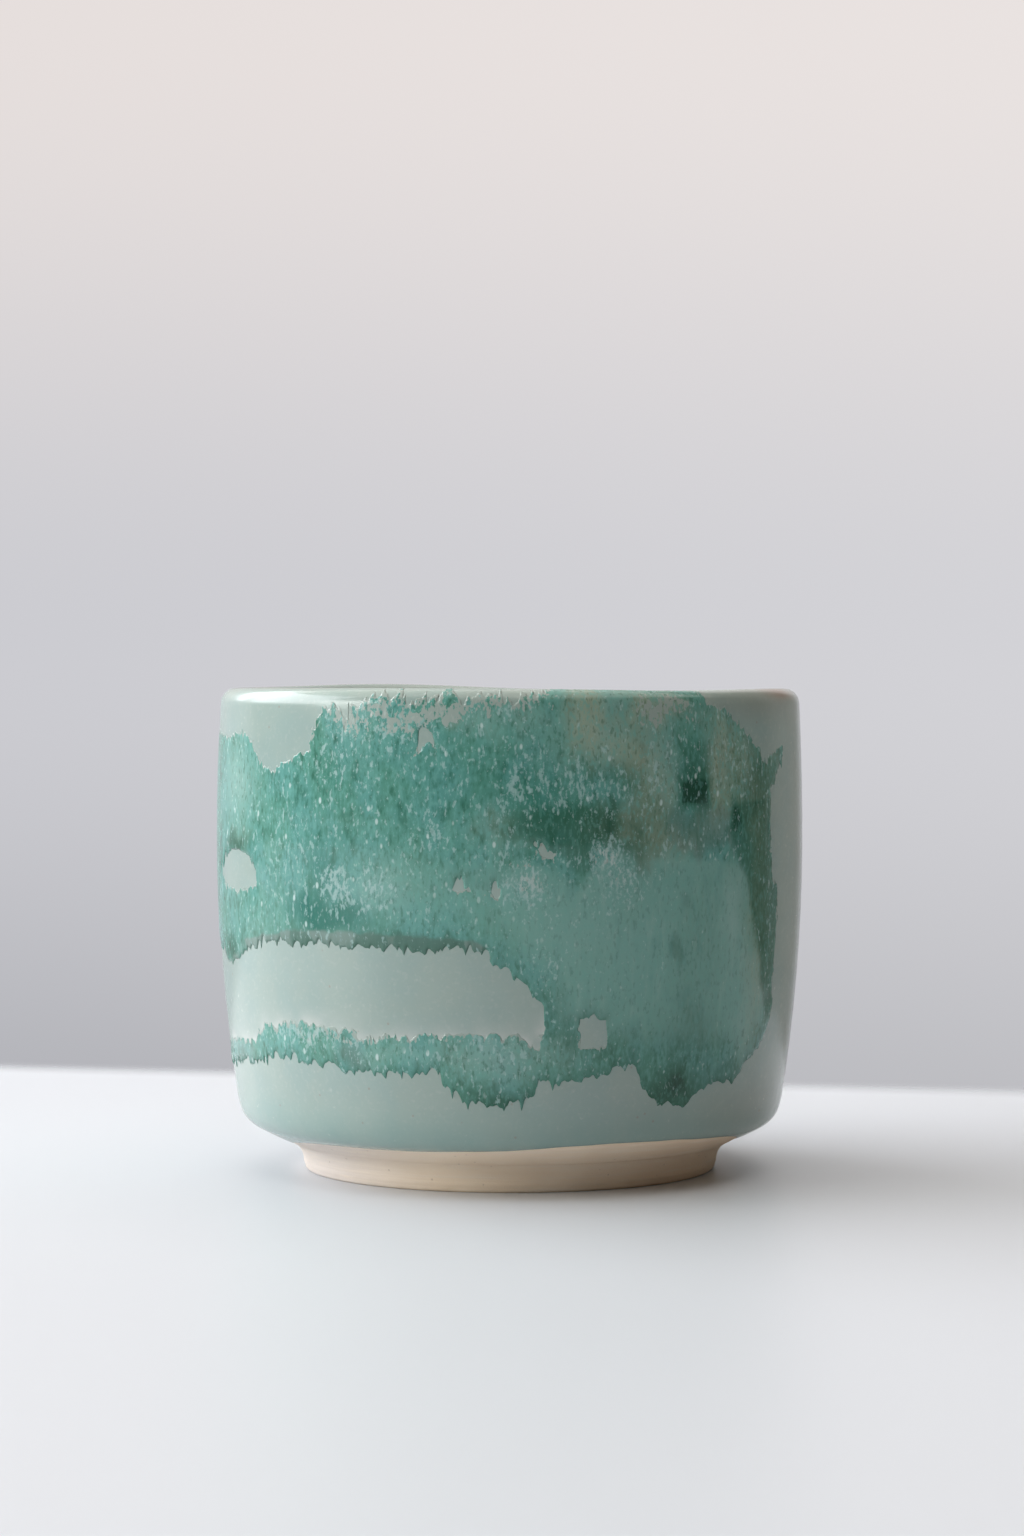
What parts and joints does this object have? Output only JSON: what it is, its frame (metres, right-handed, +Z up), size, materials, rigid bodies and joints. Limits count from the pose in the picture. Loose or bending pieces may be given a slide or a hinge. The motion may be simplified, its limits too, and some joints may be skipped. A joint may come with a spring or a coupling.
{
  "type": "tea cup",
  "caption": "Handleless hand-thrown stoneware tea cup with a barrel wall, rounded lip and turned foot ring, glazed pale green with green and turquoise pours; holds a drink.",
  "frame": {"origin": "middle of the foot ring's flat underside, on the cup's axis", "axes": "+Z up along the cup's axis, -Y towards the side that the picture shows, +X to that view's right"},
  "size_m": [0.086, 0.0867, 0.0703],
  "materials": {
    "bare_clay": "fired stoneware, unglazed, fine turning lines",
    "pale_glaze": "pale grey-green celadon glaze, satin gloss",
    "green_glaze": "mottled green reactive glaze with pale crystals and ragged runs, gloss",
    "turquoise_glaze": "lighter blue-green second pour, crystalline, gloss"
  },
  "bodies": {
    "root": {"clay_body": "bare_clay", "foot_ring": "bare_clay", "outer_glaze": "pale_glaze", "liner_glaze": "pale_glaze", "green_pour_front": "green_glaze", "green_pour_back": "green_glaze", "turquoise_pour": "turquoise_glaze"}
  },
  "joints": []
}
